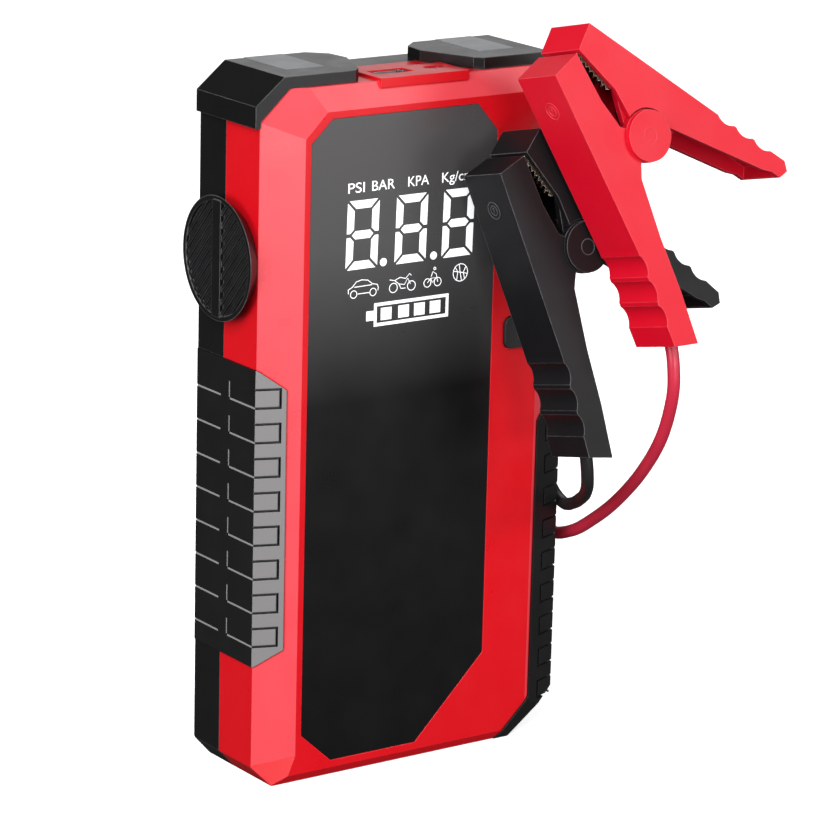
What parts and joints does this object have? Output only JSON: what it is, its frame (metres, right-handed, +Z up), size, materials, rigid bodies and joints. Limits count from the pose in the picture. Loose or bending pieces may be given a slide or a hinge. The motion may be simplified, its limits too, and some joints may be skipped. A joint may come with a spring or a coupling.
{
  "type": "jump starter pack",
  "caption": "Upright battery pack with bevelled face, display panel, rubber side grips, top lamps, side air port cap and two spring clamp leads.",
  "frame": {"origin": "centre of the pack's base, on the surface it stands on", "axes": "+Z up, the display faces -Y, +X towards the side with the start socket"},
  "size_m": [0.1632, 0.0971, 0.2344],
  "materials": {
    "red_abs": "satin moulded ABS",
    "black_abs": "satin moulded ABS",
    "panel_acrylic": "polished acrylic",
    "display_glass": "clear",
    "grip_rubber": "moulded TPE rubber",
    "lamp_lens": "prismatic",
    "lamp_board": "solder mask",
    "socket_steel": "stamped",
    "tongue_plastic": "moulded",
    "button_plastic": "soft touch",
    "circuit_board": "solder mask",
    "cell_foil": "laminated foil",
    "tray_plastic": "moulded",
    "motor_steel": "zinc plated",
    "brass": "turned",
    "gear_nylon": "moulded nylon",
    "cast_aluminium": "die cast",
    "seal_rubber": "moulded",
    "socket_plastic": "moulded nylon",
    "plug_plastic": "moulded nylon",
    "red_lead_silicone": "silicone sheath",
    "black_lead_silicone": "silicone sheath",
    "red_clamp_plastic": "satin moulded ABS",
    "black_clamp_plastic": "satin moulded ABS",
    "jaw_steel": "plated",
    "spring_steel": "drawn wire"
  },
  "bodies": {
    "root": {"front_frame": "red_abs", "rear_shell": "black_abs", "face_panel": "panel_acrylic", "display_module": "display_glass", "left_grip": "grip_rubber", "right_grip": "grip_rubber", "corner_bumper_left": "black_abs", "corner_bumper_right": "black_abs", "lamp_lens_left": "lamp_lens", "lamp_lens_right": "lamp_lens", "lamp_boards": "lamp_board", "usb_a_socket": "socket_steel", "usb_a_tongue": "tongue_plastic", "usb_c_socket": "socket_steel", "usb_c_tongue": "tongue_plastic", "button_switches": "socket_steel", "main_board": "circuit_board", "battery_cell_front": "cell_foil", "battery_cell_middle": "cell_foil", "battery_cell_back": "cell_foil", "battery_tray": "tray_plastic", "battery_board": "circuit_board", "pump_motor": "motor_steel", "gear_axle": "motor_steel", "pump_housing": "cast_aluminium", "air_nozzle": "brass", "port_ring": "black_abs", "nozzle_seal": "seal_rubber", "start_socket": "socket_plastic", "socket_pins": "brass", "shell_screws": "motor_steel"},
    "button_top_key": {"button_top": "button_plastic"},
    "button_middle_key": {"button_middle": "button_plastic"},
    "button_bottom_key": {"button_bottom": "button_plastic"},
    "port_cap": {"air_cap": "black_abs"},
    "motor_rotor": {"motor_shaft": "motor_steel", "pinion": "brass"},
    "crank": {"crank_gear": "gear_nylon"},
    "piston_set": {"pump_piston": "gear_nylon", "connecting_rod": "cast_aluminium"},
    "lead_set": {"plug_housing": "plug_plastic", "plug_sleeves": "brass", "plug_boots": "plug_plastic", "red_lead": "red_lead_silicone", "black_lead": "black_lead_silicone", "red_clamp_lower": "red_clamp_plastic", "red_jaw_lower": "jaw_steel", "red_pivot_pin": "jaw_steel", "red_pivot_caps": "red_clamp_plastic", "red_spring": "spring_steel", "black_clamp_lower": "black_clamp_plastic", "black_jaw_lower": "jaw_steel", "black_pivot_pin": "jaw_steel", "black_pivot_caps": "black_clamp_plastic", "black_spring": "spring_steel"},
    "red_clamp_jaw": {"red_clamp_upper": "red_clamp_plastic", "red_jaw_upper": "jaw_steel"},
    "black_clamp_jaw": {"black_clamp_upper": "black_clamp_plastic", "black_jaw_upper": "jaw_steel"}
  },
  "joints": [
    {"name": "top_button_press", "type": "slide", "parent": "root", "child": "button_top_key", "axis": [0, 1, 0], "range_m": [0, 0.0005], "stiffness_N_per_m": 500, "springref_m": -0.0005},
    {"name": "middle_button_press", "type": "slide", "parent": "root", "child": "button_middle_key", "axis": [0, 1, 0], "range_m": [0, 0.0005], "stiffness_N_per_m": 500, "springref_m": -0.0005},
    {"name": "bottom_button_press", "type": "slide", "parent": "root", "child": "button_bottom_key", "axis": [0, 1, 0], "range_m": [0, 0.0005], "stiffness_N_per_m": 500, "springref_m": -0.0005},
    {"name": "air_cap_turn", "type": "hinge", "parent": "root", "child": "port_cap", "pos_m": [-0.0565, 0.0005, 0.1625], "axis": [-1, 0, 0], "range_deg": [0, 90]},
    {"name": "motor_spin", "type": "hinge", "parent": "root", "child": "motor_rotor", "pos_m": [0.0186, 0.0005, 0.15], "axis": [0, 0, 1], "continuous": true},
    {"name": "crank_spin", "type": "hinge", "parent": "root", "child": "crank", "pos_m": [0.0042, 0.0005, 0.15], "axis": [0, 0, 1], "continuous": true},
    {"name": "piston_stroke", "type": "slide", "parent": "root", "child": "piston_set", "axis": [-1, 0, 0], "range_m": [0, 0.008]},
    {"name": "plug_pull", "type": "slide", "parent": "root", "child": "lead_set", "axis": [1, 0, 0], "range_m": [0, 0.014]},
    {"name": "red_clamp_open", "type": "hinge", "parent": "lead_set", "child": "red_clamp_jaw", "pos_m": [0.0497, -0.0538, 0.1983], "axis": [0, 0.9751, -0.2215], "range_deg": [0, 32], "stiffness_Nm_per_rad": 0.8, "springref_deg": -22.92},
    {"name": "black_clamp_open", "type": "hinge", "parent": "lead_set", "child": "black_clamp_jaw", "pos_m": [0.039, -0.0393, 0.1628], "axis": [0, 0.9751, -0.2215], "range_deg": [0, 32], "stiffness_Nm_per_rad": 0.8, "springref_deg": -22.92}
  ],
  "couplings": [
    {"joint": "crank_spin", "follows": "motor_spin", "ratio": -0.33333}
  ]
}
